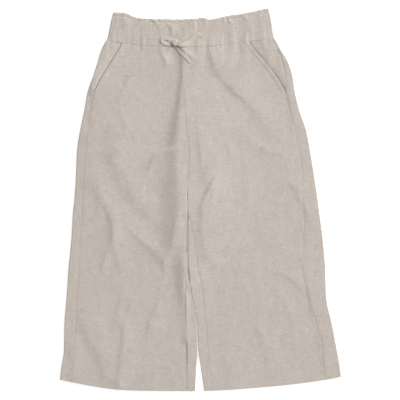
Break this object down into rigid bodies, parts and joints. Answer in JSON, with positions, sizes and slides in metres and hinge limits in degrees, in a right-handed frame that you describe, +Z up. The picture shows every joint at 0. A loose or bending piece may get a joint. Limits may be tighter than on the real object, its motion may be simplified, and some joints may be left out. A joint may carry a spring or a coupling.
{
  "type": "palazzo trousers",
  "caption": "Cropped wide-leg linen trousers laid flat, with an elastic gathered waistband, a tied drawstring bow and slanted front pockets.",
  "frame": {"origin": "centre of the bounding box's base, on the surface that the trousers lie on", "axes": "+X across, towards the wearer's left; +Y from the hems to the waist; +Z up, away from the surface, out of the trousers' front"},
  "size_m": [0.6052, 0.8226, 0.0189],
  "materials": {
    "linen": "matt slubbed linen weave",
    "tie_linen": "matt linen tape"
  },
  "bodies": {
    "root": {"back_panel_right": "linen", "back_panel_left": "linen", "front_panel_right": "linen", "front_panel_left": "linen", "pocket_facing_right": "linen", "pocket_facing_left": "linen", "waistband_back": "linen", "waistband_front": "linen", "tie_knot": "tie_linen", "tie_loop_right": "tie_linen", "tie_loop_left": "tie_linen", "tie_tail_right": "tie_linen", "tie_tail_left": "tie_linen"}
  },
  "joints": []
}
